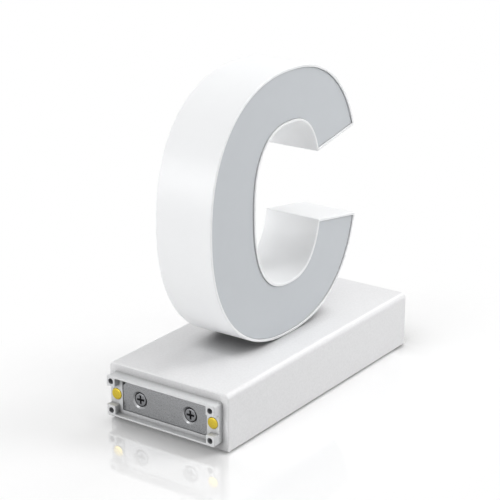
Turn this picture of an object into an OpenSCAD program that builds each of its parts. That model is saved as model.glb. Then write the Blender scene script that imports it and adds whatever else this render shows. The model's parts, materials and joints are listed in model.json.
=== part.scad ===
// Light-up letter C standing on a base that plugs into its neighbours
// Millimetres, +Z up. X runs along the base with the plug at -X and the socket at +X.
// The lit face looks along -Y. The origin is the middle of the pad's underside.

/* [Letter] */
// Height of the letter
letter_h = 100; // [90:1:120]
// Depth of the letter from its front rim to its back
letter_depth = 23.5; // [23:0.5:32]
// Reach of the letter to the left of its centre line
letter_left = 48; // [44:0.5:54]
// Reach of the upper bow to the right of the centre line
bow_right = 45.4; // [42:0.2:50]
// Reach of the lower bow to the right of the centre line
bowl_right = 46; // [42:0.2:50]
// How far the letter's centre line sits from the middle of the base
letter_x = -1.7; // [-4:0.1:4]
// Width of the stroke at the far left
stroke_left = 26.7; // [24:0.1:29]
// Width of the stroke at the top
stroke_top = 20.1; // [18:0.1:23]
// Width of the stroke at the bottom
stroke_bottom = 20.7; // [18:0.1:23]
// Width of the upper bow at the right
stroke_bow = 26.4; // [24:0.1:28]
// Width of the lower bow at the right
stroke_bowl = 26; // [24:0.1:28]
// Height of the upper cut above the letter's middle, on the centre line
mouth_up = 12.1; // [8:0.1:16]
// Depth of the lower cut below the letter's middle, on the centre line
mouth_down = 7.9; // [4:0.1:12]
// Rise of the upper cut towards the right, in degrees
mouth_up_angle = 10.7; // [0:0.1:20]
// Fall of the lower cut towards the right, in degrees
mouth_down_angle = 8.8; // [0:0.1:20]
// Thickness of the side wall, which shows as a rim round the face
rim_t = 1; // [0.8:0.1:1.6]
// How far the face lies behind the rim
face_recess = 0.5; // [0.2:0.1:1]
// Thickness of the translucent face
face_t = 2; // [1.5:0.1:3]
// Thickness of the back panel
back_t = 2; // [1.5:0.1:3]

/* [Base] */
// Length of the housing without the plug
base_l = 119.5; // [116:0.5:150]
// Room inside the housing beyond each side of the plug
side_room = 0.4; // [0.4:0.1:6]
// Height of the housing above the plug, and below it
plug_rise = 3; // [2.9:0.1:6]
// Wall thickness of the housing
base_wall = 2; // [1.6:0.1:2]
// Radius of the long top edges
base_edge_r = 2; // [0.6:0.1:3]
// Thickness of the anti-slip pad
pad_t = 0.5; // [0.4:0.1:2]
// Thickness of the base plate
base_plate_t = 1.6; // [1.2:0.1:2]

/* [Plug] */
// Width of the plug block
plug_w = 47.2; // [42:0.1:56]
// Height of the plug block
plug_h = 15.4; // [14:0.1:18]
// How far the corner bosses stand out of the housing
plug_depth = 4.7; // [4.2:0.1:6]
// How far the cheeks beside the catch plate stand out
cheek_depth = 2.1; // [1.9:0.1:2.6]
// Thickness of the two skirts above and below
skirt_t = 0.8; // [0.6:0.1:1.2]
// Width of a corner boss
boss_w = 3.7; // [3.4:0.1:4.2]
// Height of a corner boss
boss_h = 4.1; // [3.8:0.1:4.4]
// Diameter of the guide hole in each corner boss
guide_d = 2.1; // [1.8:0.1:2.3]
// Width of the frame above and below the window for the catch plate
window_rim = 2.1; // [1.8:0.1:2.6]
// Width of the frame round a contact button, at its narrowest
cheek_rim = 0.4; // [0.3:0.05:1]
// Thickness of the steel catch plate
catch_t = 1.2; // [1:0.1:1.4]
// Distance of the catch plate's screws from the window's ends
catch_screw_inset = 7.55; // [5:0.05:9]
// Diameter of a contact button
contact_d = 4.2; // [3.4:0.1:5]
// How far a contact button stands out of its cheek
contact_proud = 0.3; // [0.2:0.1:0.5]
// Travel of a contact button
contact_travel = 0.8; // [0.4:0.1:1]

/* [Hidden] */

// Shared clearances and the overrun of cuts
fit_gap = 0.05;
loose_gap = 0.1;
over = 1;
$fn = 48;

// Letter outline: exponents of its curves and how finely they are drawn
left_curve_share = 2.25;
right_curve_share = 2.34;
counter_curve_share = 2.5;
outline_steps = 96;
counter_steps = 72;
counter_x = 0.6;
counter_z = 2.4;
counter_left = letter_left - stroke_left + counter_x;
counter_right_top = bow_right - stroke_bow - counter_x;
counter_right_low = bowl_right - stroke_bowl - counter_x;
counter_up = letter_h / 2 - stroke_top - counter_z;
counter_down = letter_h / 2 - stroke_bottom + counter_z;
base_w = plug_w + 2 * (base_wall + side_room);
base_h = plug_h + 2 * plug_rise;
letter_foot = pad_t + base_h;
letter_z = letter_foot + letter_h / 2;
letter_front = -letter_depth / 2;
letter_rear = letter_depth / 2;
mouth_reach = max(bow_right, bowl_right) + over;

// Inside of the letter
ledge_w = 1.2;
ledge_t = 1.2;
ledge_y = letter_front + face_recess + face_t;
back_recess = 0.2;
back_y = letter_rear - back_recess - back_t;
post_d = 5.6;
post_bite = 0.4;
post_angles = [50, 112, 180, 236, 304];
back_screw_d = 2;
back_screw_head_d = 3.8;
back_screw_l = 8;
led_board_inset = 6.5;
led_board_t = 1;
led_standoff = 2.5;
led_board_y = back_y - led_standoff - led_board_t;
led_first_angle = 40;
led_last_angle = 325;
led_count = 20;
led_step_angle = (led_last_angle - led_first_angle) / (led_count - 1);
led_size = [3.5, 2.8, 0.8];
led_screw_slots = [1, 5, 9, 13, 17];
led_screw_d = 2;
led_screw_head_d = 3.6;
led_screw_head_h = 1.3;
led_standoff_d = 4.4;
resistor_slots = [3, 7, 11, 16];
resistor_size = [2, 1.25, 0.5];
resistor_row_share = 0.36;

// How the letter is held down on the base
anchor_w = 7.6;
anchor_h = 4.5;
anchor_pitch = 11;
anchor_screw_inset = 2.4;
anchor_l = anchor_pitch + 2 * anchor_screw_inset;
anchor_screw_d = 3;
anchor_head_d = 4.8;
anchor_head_h = 1.8;
anchor_grip = 4;
bush_d = 4.2;
bush_bore = 2.8;
bush_flange_d = 5.4;
bush_flange_t = 1;
bush_proud = 0.5;
lead_d = 1.3;
lead_spacing = lead_d + fit_gap;

// Base levels and fasteners
base_top_in = letter_foot - base_wall;
plate_top = pad_t + base_plate_t;
rebate_w = 1;
cavity_w = base_w - 2 * base_wall;
cavity_l = base_l - 2 * base_wall;
plug_z = pad_t + base_h / 2;
post_inset_x = 20;
post_inset_y = 5;
base_post_d = 7;
base_screw_d = 3;
base_screw_head_d = 5.6;
base_screw_l = 9;
base_pilot_spare = 1;
pad_inset_x = 24.5;
pad_inset_y = 4;
pad_corner_r = 3;
tray_rib_t = 1.2;
tray_rib_w = 1.5;

// Plug places, measured outwards from the housing's end face
end_x = -base_l / 2;
plug_corner_r = 0.9;
plug_floor_t = 0.6;
guide_inset_y = 1.95;
guide_inset_z = 2.15;
guide_depth = 3.6;
catch_gap = 0.15;
catch_corner = 1.6;
catch_screw_d = 3;
catch_sink_d = 6.3;
catch_head_sink = 0.43;
catch_screw_l = 8.2;
nut_af = 5.5;
nut_t = 2.4;
cross_w = 0.7;
cross_share = 0.56;
cross_depth = 0.8;
catch_floor_d = catch_sink_d - 2 * catch_t + loose_gap;

// Contact cartridge: button, spring, terminal and clip on one axis
cheek_w = contact_d + 2 * fit_gap + 2 * cheek_rim;
window_w = plug_w - 2 * cheek_w;
window_h = plug_h - 2 * window_rim;
catch_screw_pitch = window_w - 2 * catch_screw_inset;
contact_y = (plug_w - cheek_w) / 2;
contact_edge = 0.2;
contact_head_l = 2.2;
contact_face_x = end_x - cheek_depth - contact_proud;
contact_back_x = contact_face_x + contact_head_l;
stem_d = 1.8;
spring_rest_l = 4.8;
spring_l = spring_rest_l + contact_travel;
spigot_x = contact_back_x + spring_l;
terminal_t = 0.8;
terminal_spigot = 1;
sleeve_wall = 0.65;
sleeve_d = contact_d + 2 * fit_gap + 2 * sleeve_wall;
sleeve_l = spigot_x + terminal_spigot - end_x;
terminal_back_x = end_x + sleeve_l + terminal_t;
tail_w = 1.6;
tail_t = 0.6;
tail_l = 4;
clip_d = 4;
clip_t = 0.5;
stem_tip = 0.6;
spring_wire = 0.4;
spring_side = 0.5;
spring_d = contact_d - spring_side;
spring_turns = 5;
spring_rings = 10;
spring_sides = 6;

// Socket, which takes a neighbour's plug
socket_end_x = base_l / 2;
socket_gap = 0.25;
socket_spare = 0.2;
socket_depth = plug_depth + socket_spare;
tray_t = 2;
tray_floor_x = socket_end_x - socket_depth;
tray_back_x = tray_floor_x - tray_t;
socket_w = plug_w + 2 * socket_gap;
socket_h = plug_h + 2 * socket_gap;
catch_face = plug_floor_t + catch_t;
island_gap = 0.2;
island_depth = catch_face + fit_gap;
island_w = window_w - 2 * island_gap;
island_h = window_h - 2 * island_gap;
magnet_rib = 4;
magnet_side = 2.3;
magnet_rise = 1.4;
magnet_t = 3;
magnet_w = (island_w - magnet_rib) / 2 - magnet_side;
magnet_size = [magnet_t, magnet_w, island_h - 2 * magnet_rise];
magnet_pitch = magnet_w + magnet_rib;
pin_d = guide_d - 2 * fit_gap;
pin_short = 1.6;
pin_bury = 1.5;
pin_tip_r = 0.5;
stud_under = 0.4;
stud_d = contact_d - stud_under;
stud_touch = 0.1;
stud_depth = cheek_depth - stud_touch;
stud_shank_d = 2.4;
stud_tail_l = 1.5;

// Driver board and what stands on it
board_l = 66;
board_w = 32;
board_t = 1.6;
board_standoff = 3.6;
board_z = plate_top + board_standoff;
board_top = board_z + board_t;
board_hole_inset = 3.5;
board_post_d = 5;
board_screw_d = 2.5;
board_screw_head_d = 4.6;
board_screw_head_h = 1.7;
connector_size = [6, 8, 5.5];
connector_inset = 9;
connector_pole = 2.5;
connector_slot = 0.8;
letter_connector_offset = 9;
letter_connector_x = letter_x + letter_connector_offset;
choke_d = 10;
choke_core_d = 6.4;
choke_h = 5;
choke_flange = 1;
cap_d = 6.3;
cap_h = 8;
cap_groove = 0.4;
regulator_size = [9, 7, 2.4];
regulator_pin = [0.8, 1.6, 0.5];
regulator_pins = 3;
part_x = 16;
part_y = 7;

// Point on a rounded bow at angle t: a superellipse whose four quarters have their own reach
function bow_point(t, left, right_up, right_low, up, down, left_curve, right_curve) =
    let (c = cos(t), s = sin(t),
         a = c < 0 ? left : (s < 0 ? right_low : right_up),
         b = s < 0 ? down : up,
         n = c < 0 ? left_curve : right_curve)
    [a * sign(c) * pow(abs(c), 2 / n), b * sign(s) * pow(abs(s), 2 / n)];

// Points of the letter's outer edge and of its counter, from the letter's own middle
function outer_point(t) = bow_point(t, letter_left, bow_right, bowl_right, letter_h / 2, letter_h / 2,
                                    left_curve_share, right_curve_share);
function counter_point(t) = [counter_x, counter_z]
    + bow_point(t, counter_left, counter_right_top, counter_right_low, counter_up, counter_down,
                counter_curve_share, counter_curve_share);
// Point in the stroke: share 0 is on the counter and share 1 on the outer edge
function stroke_point(t, share = 0.5) = counter_point(t) * (1 - share) + outer_point(t) * share;
// Direction from the outer edge into the stroke
function stroke_in(t) = let (d = counter_point(t) - outer_point(t)) d / norm(d);
function post_place(t) = outer_point(t) + stroke_in(t) * (rim_t + post_d / 2 - post_bite);
function led_angle(slot) = led_first_angle + led_step_angle * slot;

// Solid of the letter's outline, drawn in by inset, from y for length l
module letter_slab(inset, y, l) {
    translate([letter_x, y + l, letter_z]) rotate([90, 0, 0]) linear_extrude(l) letter_shape(inset);
}

module letter_shape(inset) {
    offset(delta = -inset) difference() {
        polygon([for (i = [0 : outline_steps - 1]) outer_point(i * 360 / outline_steps)]);
        polygon([for (i = [0 : counter_steps - 1]) counter_point(i * 360 / counter_steps)]);
        polygon([
            [0, -mouth_down],
            [mouth_reach, -mouth_down - mouth_reach * tan(mouth_down_angle)],
            [mouth_reach, mouth_up + mouth_reach * tan(mouth_up_angle)],
            [0, mouth_up],
        ]);
    }
}

// Cylinder along Y inside the letter, at a place in the outline's plane
module letter_rod(place, y, l, d) {
    translate([letter_x + place[0], y, letter_z + place[1]]) rotate([-90, 0, 0]) cylinder(h = l, d = d);
}

// Cylinder along X at height z
module rod_x(x, y, z, l, d) {
    translate([x, y, z]) rotate([0, 90, 0]) cylinder(h = l, d = d);
}

// Outline in Y and Z, extruded along X
module along_x(x, l) {
    translate([x, 0, 0]) rotate([90, 0, 90]) linear_extrude(l) children();
}

// Rectangle with four round corners, centred
module round_rect(w, h, r) {
    square([w - 2 * r, h], center = true);
    square([w, h - 2 * r], center = true);
    for (sx = [-1, 1], sy = [-1, 1]) translate([sx * (w / 2 - r), sy * (h / 2 - r)]) circle(r);
}

// Cross recess cut down into a screw head whose top is at zero and looks along +Z
module cross_cut(head_d) {
    arm = head_d * cross_share;
    for (a = [0, 90]) rotate([0, 0, a])
        translate([-arm / 2, -cross_w / 2, -cross_depth]) cube([arm, cross_w, cross_depth + over]);
}

// Screw pointing along -Z whose seat is at zero: a raised head, or a countersunk one
module pan_screw(d, l, head_d, head_h) {
    difference() {
        union() {
            translate([0, 0, -l]) cylinder(h = l, d = d);
            cylinder(h = head_h, d1 = head_d, d2 = head_d - head_h / 2);
        }
        translate([0, 0, head_h]) cross_cut(head_d);
    }
}

module flat_screw(d, l, head_d) {
    head_h = (head_d - d) / 2;
    difference() {
        union() {
            translate([0, 0, -l]) cylinder(h = l, d = d);
            translate([0, 0, -head_h]) cylinder(h = head_h, d1 = d, d2 = head_d);
        }
        cross_cut(head_d);
    }
}

// Hole for a countersunk screw: its cone ends at zero and the hole goes down by l
module flat_hole(d, l, head_d) {
    sink = (head_d - d) / 2;
    translate([0, 0, -l]) cylinder(h = l, d = d);
    translate([0, 0, -sink]) cylinder(h = sink, d1 = d, d2 = head_d);
    cylinder(h = over, d = head_d);
}

// Smooth lead: rings along a list of points, with flat round ends
lead_sides = 8;
lead_steps = 8;

function bezier(a, b, c, d) = [for (i = [0 : lead_steps]) let (t = i / lead_steps, u = 1 - t)
    a * u * u * u + b * 3 * u * u * t + c * 3 * u * t * t + d * t * t * t];
function unit(v) = v / norm(v);
function path_tangent(p, i) = unit(p[min(i + 1, len(p) - 1)] - p[max(i - 1, 0)]);

module lead(points, side, first_dir, last_dir) {
    last = len(points) - 1;
    rings = [for (i = [0 : last]) let (
        t = i == 0 ? first_dir : (i == last ? last_dir : path_tangent(points, i)),
        u = unit(cross(side, t)), v = cross(t, u))
        for (j = [0 : lead_sides - 1]) let (a = j * 360 / lead_sides)
            points[i] + (u * cos(a) + v * sin(a)) * lead_d / 2];
    tube(rings, last, lead_sides);
}

// Closed tube over rings of points, each ring counter-clockwise seen against the path
module tube(rings, last, sides) {
    walls = [for (i = [0 : last - 1], j = [0 : sides - 1]) let (
        a = i * sides + j, b = i * sides + (j + 1) % sides, c = b + sides, d = a + sides)
        each [[a, d, b], [b, d, c]]];
    near = [for (j = [1 : sides - 2]) [0, j, j + 1]];
    far = [for (j = [1 : sides - 2]) [last * sides, last * sides + j + 1, last * sides + j]];
    polyhedron(points = rings, faces = concat(walls, near, far), convexity = 6);
}

// Letter: side wall with its ledge and screw posts, face, back panel and lights
module letter_return() {
    color("white") difference() {
        union() {
            difference() {
                letter_slab(0, letter_front, letter_depth);
                letter_slab(rim_t, letter_front - over, face_recess + face_t + over);
                letter_slab(rim_t + ledge_w, ledge_y - over, ledge_t + 2 * over);
                letter_slab(rim_t, ledge_y + ledge_t, letter_rear - ledge_y);
            }
            for (t = post_angles) letter_rod(post_place(t), ledge_y, back_y - ledge_y, post_d);
        }
        for (t = post_angles)
            letter_rod(post_place(t), back_y - back_screw_l, back_screw_l + over, back_screw_d + fit_gap);
        foot_holes(rim_t);
    }
}

// Holes for the bush and the two anchor screws through a wall of thickness t above the base
module foot_holes(t) {
    translate([letter_x, 0, letter_foot - over]) {
        cylinder(h = t + 2 * over, d = bush_d + 2 * fit_gap);
        for (s = [-1, 1]) translate([s * anchor_pitch / 2, 0, 0])
            cylinder(h = t + 2 * over, d = anchor_screw_d + 2 * loose_gap);
    }
}

module letter_face() {
    color("lightsteelblue") letter_slab(rim_t + fit_gap, ledge_y - face_t, face_t);
}

module letter_back() {
    color("whitesmoke") difference() {
        union() {
            letter_slab(rim_t + fit_gap, back_y, back_t);
            for (k = led_screw_slots)
                letter_rod(stroke_point(led_angle(k + 0.5)), back_y - led_standoff, led_standoff + over,
                           led_standoff_d);
        }
        for (t = post_angles) {
            place = post_place(t);
            translate([letter_x + place[0], letter_rear - back_recess, letter_z + place[1]])
                rotate([-90, 0, 0]) flat_hole(back_screw_d + 2 * loose_gap, back_t + over,
                                              back_screw_head_d + 2 * loose_gap);
        }
        for (k = led_screw_slots)
            letter_rod(stroke_point(led_angle(k + 0.5)), back_y - led_standoff - over, led_standoff + over,
                       led_screw_d + fit_gap);
    }
}

module back_screws() {
    color("silver") for (t = post_angles) {
        place = post_place(t);
        translate([letter_x + place[0], letter_rear - back_recess, letter_z + place[1]])
            rotate([-90, 0, 0]) flat_screw(back_screw_d, back_screw_l, back_screw_head_d);
    }
}

module led_board() {
    color("ivory") difference() {
        letter_slab(led_board_inset, led_board_y, led_board_t);
        for (k = led_screw_slots)
            letter_rod(stroke_point(led_angle(k + 0.5)), led_board_y - over, led_board_t + 2 * over,
                       led_screw_d + 2 * loose_gap);
    }
}

module led_board_screws() {
    color("silver") for (k = led_screw_slots) {
        place = stroke_point(led_angle(k + 0.5));
        translate([letter_x + place[0], led_board_y, letter_z + place[1]]) rotate([90, 0, 0])
            pan_screw(led_screw_d, led_board_t + led_standoff, led_screw_head_d, led_screw_head_h);
    }
}

// A box standing on the front of the light board, turned to follow the stroke
module on_led_board(t, share, size) {
    place = stroke_point(t, share);
    way = stroke_in(t);
    translate([letter_x + place[0], led_board_y, letter_z + place[1]]) rotate([90, 0, 0])
        rotate([0, 0, atan2(way[1], way[0]) + 90])
            translate([-size[0] / 2, -size[1] / 2, 0]) cube(size);
}

module leds() {
    color("khaki") for (k = [0 : led_count - 1]) on_led_board(led_angle(k), 0.5, led_size);
}

module led_resistors() {
    color("dimgray") for (k = resistor_slots)
        on_led_board(led_angle(k + 0.5), resistor_row_share, resistor_size);
}

// Hold-down inside the letter's foot: block, screws from below and the lead bush
module anchor_block() {
    floor_z = letter_foot + rim_t + fit_gap;
    color("gainsboro") difference() {
        intersection() {
            letter_slab(rim_t + fit_gap, -anchor_w / 2, anchor_w);
            translate([letter_x - anchor_l / 2, -anchor_w / 2 - over, floor_z - over])
                cube([anchor_l, anchor_w + 2 * over, anchor_h + over]);
        }
        translate([letter_x, 0, floor_z - over]) {
            cylinder(h = anchor_h + 2 * over, d = bush_d + 2 * fit_gap);
            for (s = [-1, 1]) translate([s * anchor_pitch / 2, 0, 0])
                cylinder(h = anchor_h + 2 * over, d = anchor_screw_d + fit_gap);
        }
    }
}

module anchor_screws() {
    color("silver") for (s = [-1, 1])
        translate([letter_x + s * anchor_pitch / 2, 0, base_top_in]) rotate([180, 0, 0])
            pan_screw(anchor_screw_d, base_wall + rim_t + anchor_grip, anchor_head_d, anchor_head_h);
}

bush_top = letter_foot + rim_t + fit_gap + anchor_h + bush_proud;

module lead_bush() {
    color("dimgray") translate([letter_x, 0, base_top_in]) difference() {
        union() {
            cylinder(h = bush_top - base_top_in, d = bush_d);
            translate([0, 0, -bush_flange_t]) cylinder(h = bush_flange_t, d = bush_flange_d);
        }
        translate([0, 0, -bush_flange_t - over])
            cylinder(h = bush_top - base_top_in + bush_flange_t + 2 * over, d = bush_bore);
    }
}

// The two leads from the light board, through the bush, to the middle connector
module letter_lead(s) {
    x = letter_x;
    y = s * lead_spacing / 2;
    end = [letter_connector_x, s * connector_pole / 2, board_top + connector_size[2]];
    pad_z = bush_top + (3 - s) * lead_d;
    low_z = base_top_in - bush_flange_t - lead_d / 2;
    swing = 2 * lead_d;
    lead(concat(
        bezier([x, led_board_y, pad_z], [x, led_board_y - swing, pad_z], [x, y, pad_z], [x, y, bush_top]),
        bezier([x, y, low_z], [x, y, low_z - swing], end + [0, 0, swing], end)
    ), [1, 0, 0], [0, -1, 0], [0, 0, -1]);
}

module letter_lead_positive() { color("firebrick") letter_lead(1); }
module letter_lead_negative() { color("black") letter_lead(-1); }

// Base: housing with rounded long edges, open below and at the socket
module base_profile() {
    translate([-base_w / 2, 0]) square([base_w, base_h - base_edge_r]);
    translate([-base_w / 2 + base_edge_r, 0]) square([base_w - 2 * base_edge_r, base_h]);
    for (s = [-1, 1]) translate([s * (base_w / 2 - base_edge_r), base_h - base_edge_r]) circle(base_edge_r);
}

module base_housing() {
    color("white") difference() {
        union() {
            difference() {
                translate([0, 0, pad_t]) along_x(end_x, base_l) base_profile();
                translate([-cavity_l / 2, -cavity_w / 2, -over]) cube([cavity_l, cavity_w, base_top_in + over]);
                translate([-base_l / 2 + rebate_w, -base_w / 2 + rebate_w, -over])
                    cube([base_l - 2 * rebate_w, base_w - 2 * rebate_w, plate_top + over]);
            }
            for (sx = [-1, 1], sy = [-1, 1]) translate(base_post_place(sx, sy, plate_top))
                cylinder(h = base_top_in - plate_top + base_wall / 2, d = base_post_d);
            for (s = [-1, 1])
                translate([tray_back_x - tray_rib_t - fit_gap,
                           s > 0 ? cavity_w / 2 - tray_rib_w : -cavity_w / 2 - base_wall / 2, plate_top])
                    cube([tray_rib_t, tray_rib_w + base_wall / 2, base_top_in - plate_top + base_wall / 2]);
        }
        for (sx = [-1, 1], sy = [-1, 1]) translate(base_post_place(sx, sy, plate_top - over))
            cylinder(h = base_screw_l + base_pilot_spare + over, d = base_screw_d + fit_gap);
        for (s = [-1, 1]) {
            rod_x(end_x - over, s * contact_y, plug_z, base_wall + 2 * over, sleeve_d + 2 * fit_gap);
            rod_x(end_x - over, s * catch_screw_pitch / 2, plug_z, base_wall + 2 * over,
                  catch_screw_d + 2 * loose_gap);
        }
        corner_relief(base_wall);
        translate([socket_end_x - base_wall - over, -socket_w / 2, plug_z - socket_h / 2])
            cube([base_wall + 2 * over, socket_w, socket_h]);
        translate([0, 0, -base_wall]) foot_holes(base_wall);
    }
}

// Square hole through the frame's floor and the end wall, behind the catch plate's cut corner
module corner_relief(wall) {
    translate([end_x - plug_floor_t - over, window_w / 2 - catch_corner, plug_z + window_h / 2 - catch_corner])
        cube([plug_floor_t + wall + 2 * over, catch_corner, catch_corner]);
}

function base_post_place(sx, sy, z) = [sx * (base_l / 2 - post_inset_x), sy * (base_w / 2 - post_inset_y), z];
function board_post_place(sx, sy, z) = [sx * (board_l / 2 - board_hole_inset),
                                        sy * (board_w / 2 - board_hole_inset), z];

module base_plate() {
    color("gainsboro") difference() {
        union() {
            translate([-base_l / 2 + rebate_w + loose_gap, -base_w / 2 + rebate_w + loose_gap, pad_t])
                cube([base_l - 2 * rebate_w - 2 * loose_gap, base_w - 2 * rebate_w - 2 * loose_gap,
                      base_plate_t]);
            for (sx = [-1, 1], sy = [-1, 1]) translate(board_post_place(sx, sy, plate_top - base_plate_t / 2))
                cylinder(h = board_z - plate_top + base_plate_t / 2, d = board_post_d);
        }
        for (sx = [-1, 1], sy = [-1, 1]) {
            translate(base_post_place(sx, sy, pad_t)) rotate([180, 0, 0])
                flat_hole(base_screw_d + 2 * loose_gap, base_plate_t + over, base_screw_head_d + 2 * loose_gap);
            translate(board_post_place(sx, sy, plate_top))
                cylinder(h = board_z - plate_top + over, d = board_screw_d + fit_gap);
        }
    }
}

module base_plate_screws() {
    color("silver") for (sx = [-1, 1], sy = [-1, 1]) translate(base_post_place(sx, sy, pad_t))
        rotate([180, 0, 0]) flat_screw(base_screw_d, base_screw_l, base_screw_head_d);
}

module base_pad() {
    color("dimgray") linear_extrude(pad_t)
        round_rect(base_l - 2 * pad_inset_x, base_w - 2 * pad_inset_y, pad_corner_r);
}

// Plug: frame with corner bosses, skirts, cheeks and a window for the catch plate
module plug_frame() {
    inner_x = end_x - cheek_depth;
    color("whitesmoke") difference() {
        union() {
            translate([0, 0, plug_z]) {
                along_x(inner_x, cheek_depth) round_rect(plug_w, plug_h, plug_corner_r);
                along_x(end_x - plug_depth, plug_depth) intersection() {
                    round_rect(plug_w, plug_h, plug_corner_r);
                    union() {
                        for (s = [-1, 1]) {
                            translate([0, s * (plug_h - skirt_t) / 2]) square([plug_w, skirt_t], center = true);
                            for (t = [-1, 1])
                                translate([s * (plug_w - boss_w) / 2, t * (plug_h - boss_h) / 2])
                                    square([boss_w, boss_h], center = true);
                        }
                    }
                }
            }
            for (s = [-1, 1]) rod_x(end_x, s * contact_y, plug_z, sleeve_l, sleeve_d);
        }
        translate([0, 0, plug_z])
            along_x(end_x - plug_depth - over, plug_depth - plug_floor_t + over)
                square([window_w, window_h], center = true);
        corner_relief(0);
        for (s = [-1, 1]) {
            rod_x(inner_x - over, s * contact_y, plug_z, cheek_depth + sleeve_l + 2 * over,
                  contact_d + 2 * fit_gap);
            rod_x(end_x - plug_floor_t - over, s * catch_screw_pitch / 2, plug_z, plug_floor_t + 2 * over,
                  catch_floor_d);
            for (t = [-1, 1])
                rod_x(end_x - plug_depth - over, s * (plug_w / 2 - guide_inset_y),
                      plug_z + t * (plug_h / 2 - guide_inset_z), guide_depth + over, guide_d);
        }
    }
}

module catch_plate() {
    w = window_w - 2 * catch_gap;
    h = window_h - 2 * catch_gap;
    color("darkgray") difference() {
        translate([0, 0, plug_z]) along_x(end_x - catch_face, catch_t) polygon([
            [-w / 2, -h / 2], [w / 2, -h / 2], [w / 2, h / 2 - catch_corner],
            [w / 2 - catch_corner, h / 2], [-w / 2, h / 2],
        ]);
        for (s = [-1, 1]) translate([end_x - catch_face, s * catch_screw_pitch / 2, plug_z])
            rotate([0, -90, 0]) flat_hole(catch_screw_d + loose_gap, catch_t + over, catch_sink_d);
    }
}

module catch_plate_screws() {
    head_d = catch_sink_d - 2 * catch_head_sink - fit_gap;
    color("silver") for (s = [-1, 1])
        translate([end_x - catch_face + catch_head_sink, s * catch_screw_pitch / 2, plug_z])
            rotate([0, -90, 0]) flat_screw(catch_screw_d, catch_screw_l, head_d);
}

module catch_plate_nuts() {
    color("silver") for (s = [-1, 1])
        translate([end_x + base_wall, s * catch_screw_pitch / 2, plug_z]) rotate([0, 90, 0]) difference() {
            cylinder(h = nut_t, d = nut_af / cos(30), $fn = 6);
            translate([0, 0, -over]) cylinder(h = nut_t + 2 * over, d = catch_screw_d + fit_gap, $fn = 48);
        }
}

// Contact button: a disc with a rounded edge on a stem, turned in one piece
module contact(s) {
    stem_l = terminal_back_x + clip_t + stem_tip - contact_back_x;
    r = contact_d / 2;
    color("gold") translate([contact_face_x, s * contact_y, plug_z]) rotate([0, 90, 0]) rotate_extrude()
        polygon([
            [0, 0], [r - contact_edge, 0], [r, contact_edge], [r, contact_head_l],
            [stem_d / 2, contact_head_l], [stem_d / 2, contact_head_l + stem_l], [0, contact_head_l + stem_l],
        ]);
}

module contact_clip(s) {
    color("silver") translate([terminal_back_x + fit_gap, s * contact_y, plug_z]) rotate([0, 90, 0])
        difference() {
            cylinder(h = clip_t, d = clip_d);
            translate([0, 0, -over]) cylinder(h = clip_t + 2 * over, d = stem_d + fit_gap);
        }
}

// Coil spring between the button and the terminal's spigot
module contact_spring(s) {
    from = contact_back_x + spring_wire / 2 + fit_gap;
    to = spigot_x - spring_wire / 2 - fit_gap;
    r = (spring_d - spring_wire) / 2;
    last = spring_turns * spring_rings;
    color("silver") translate([0, s * contact_y, plug_z]) tube([
        for (i = [0 : last]) let (t = i * 360 / spring_rings, out = [0, cos(t), sin(t)])
            for (j = [0 : spring_sides - 1]) let (a = j * 360 / spring_sides)
                [from + (to - from) * i / last, 0, 0] + out * (r + spring_wire / 2 * cos(a))
                    + [-spring_wire / 2 * sin(a), 0, 0]
    ], last, spring_sides);
}

// Terminal: a cap that closes the sleeve behind the spring, with a solder tail
module contact_terminal(s) {
    color("goldenrod") difference() {
        union() {
            rod_x(spigot_x, s * contact_y, plug_z, terminal_spigot + terminal_t, contact_d);
            rod_x(end_x + sleeve_l, s * contact_y, plug_z, terminal_t, sleeve_d);
            translate([end_x + sleeve_l, s * contact_y - tail_w / 2, plug_z - sleeve_d / 2])
                cube([terminal_t + tail_l, tail_w, tail_t]);
        }
        rod_x(spigot_x - over, s * contact_y, plug_z, terminal_spigot + terminal_t + 2 * over,
              stem_d + 2 * fit_gap);
    }
}

module front_contact() { contact(-1); }
module rear_contact() { contact(1); }
module front_contact_clip() { contact_clip(-1); }
module rear_contact_clip() { contact_clip(1); }
module front_contact_spring() { contact_spring(-1); }
module rear_contact_spring() { contact_spring(1); }
module front_contact_terminal() { contact_terminal(-1); }
module rear_contact_terminal() { contact_terminal(1); }

// Socket: tray behind the open end, with an island that meets a neighbour's catch plate
module socket_frame() {
    rail_l = socket_depth - base_wall + tray_t;
    top_t = base_top_in - (plug_z + socket_h / 2);
    low_t = plug_z - socket_h / 2 - plate_top - fit_gap;
    color("gainsboro") difference() {
        union() {
            translate([tray_back_x, -cavity_w / 2 + loose_gap, plate_top + fit_gap])
                cube([tray_t, cavity_w - 2 * loose_gap, base_top_in - plate_top - fit_gap]);
            translate([tray_back_x, -cavity_w / 2 + loose_gap, plug_z + socket_h / 2])
                cube([rail_l, cavity_w - 2 * loose_gap, top_t]);
            translate([tray_back_x, -cavity_w / 2 + loose_gap, plate_top + fit_gap])
                cube([rail_l, cavity_w - 2 * loose_gap, low_t]);
            translate([tray_back_x, -island_w / 2, plug_z - island_h / 2])
                cube([socket_end_x - island_depth - tray_back_x, island_w, island_h]);
        }
        for (s = [-1, 1]) {
            translate([socket_end_x - island_depth - magnet_size[0],
                       s * magnet_pitch / 2 - magnet_size[1] / 2 - fit_gap,
                       plug_z - magnet_size[2] / 2 - fit_gap])
                cube([magnet_size[0] + over, magnet_size[1] + 2 * fit_gap, magnet_size[2] + 2 * fit_gap]);
            rod_x(tray_back_x - over, s * contact_y, plug_z, tray_t + 2 * over, stud_shank_d + 2 * fit_gap);
            for (t = [-1, 1])
                rod_x(tray_floor_x - pin_bury, s * (plug_w / 2 - guide_inset_y),
                      plug_z + t * (plug_h / 2 - guide_inset_z), pin_bury + over, pin_d + fit_gap);
        }
    }
}

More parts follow.
